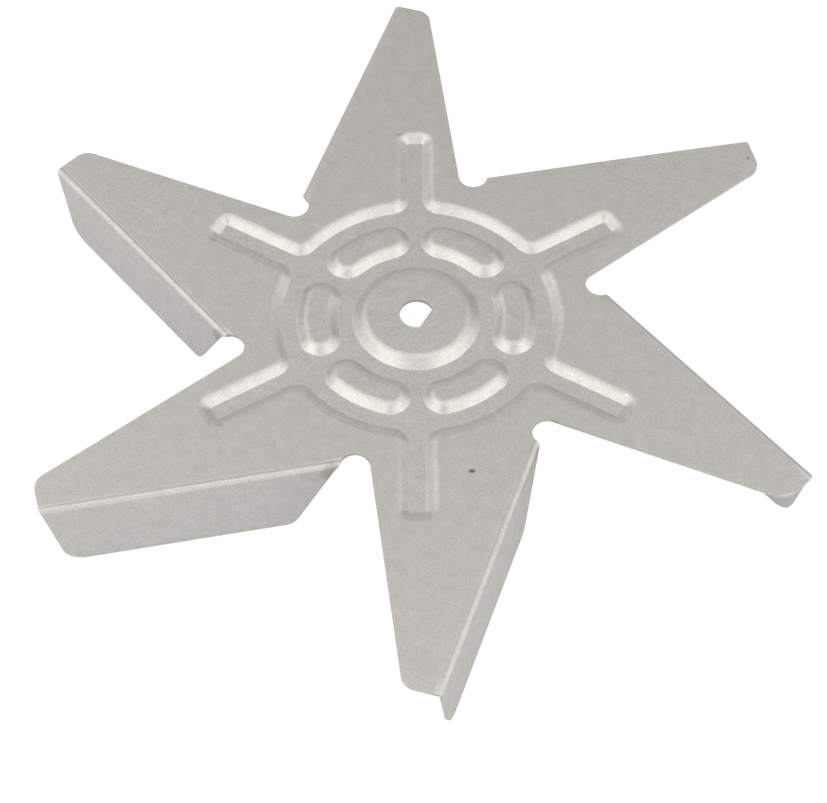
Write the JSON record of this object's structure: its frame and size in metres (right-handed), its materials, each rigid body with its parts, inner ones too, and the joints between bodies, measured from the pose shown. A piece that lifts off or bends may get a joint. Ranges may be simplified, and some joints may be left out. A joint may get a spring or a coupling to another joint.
{
  "type": "axial fan impeller",
  "caption": "Flat pressed-steel fan impeller: a star of straight blades with folded-down flanges, an embossed ring with radial ribs and a raised hub with a D-shaped shaft hole.",
  "frame": {"origin": "on the bore axis, in the flat underside of the hub where the motor shaft's shoulder seats", "axes": "+Z along the bore axis towards the embossed face, with the flanges folded down; +X from the axis towards the bore's flat and along the middle of one stiffening rib"},
  "size_m": [0.15, 0.1336, 0.0159],
  "materials": {
    "coated_steel": "matte metallic-coated sheet steel, fine even grain"
  },
  "bodies": {
    "root": {"impeller": "coated_steel"}
  },
  "joints": []
}
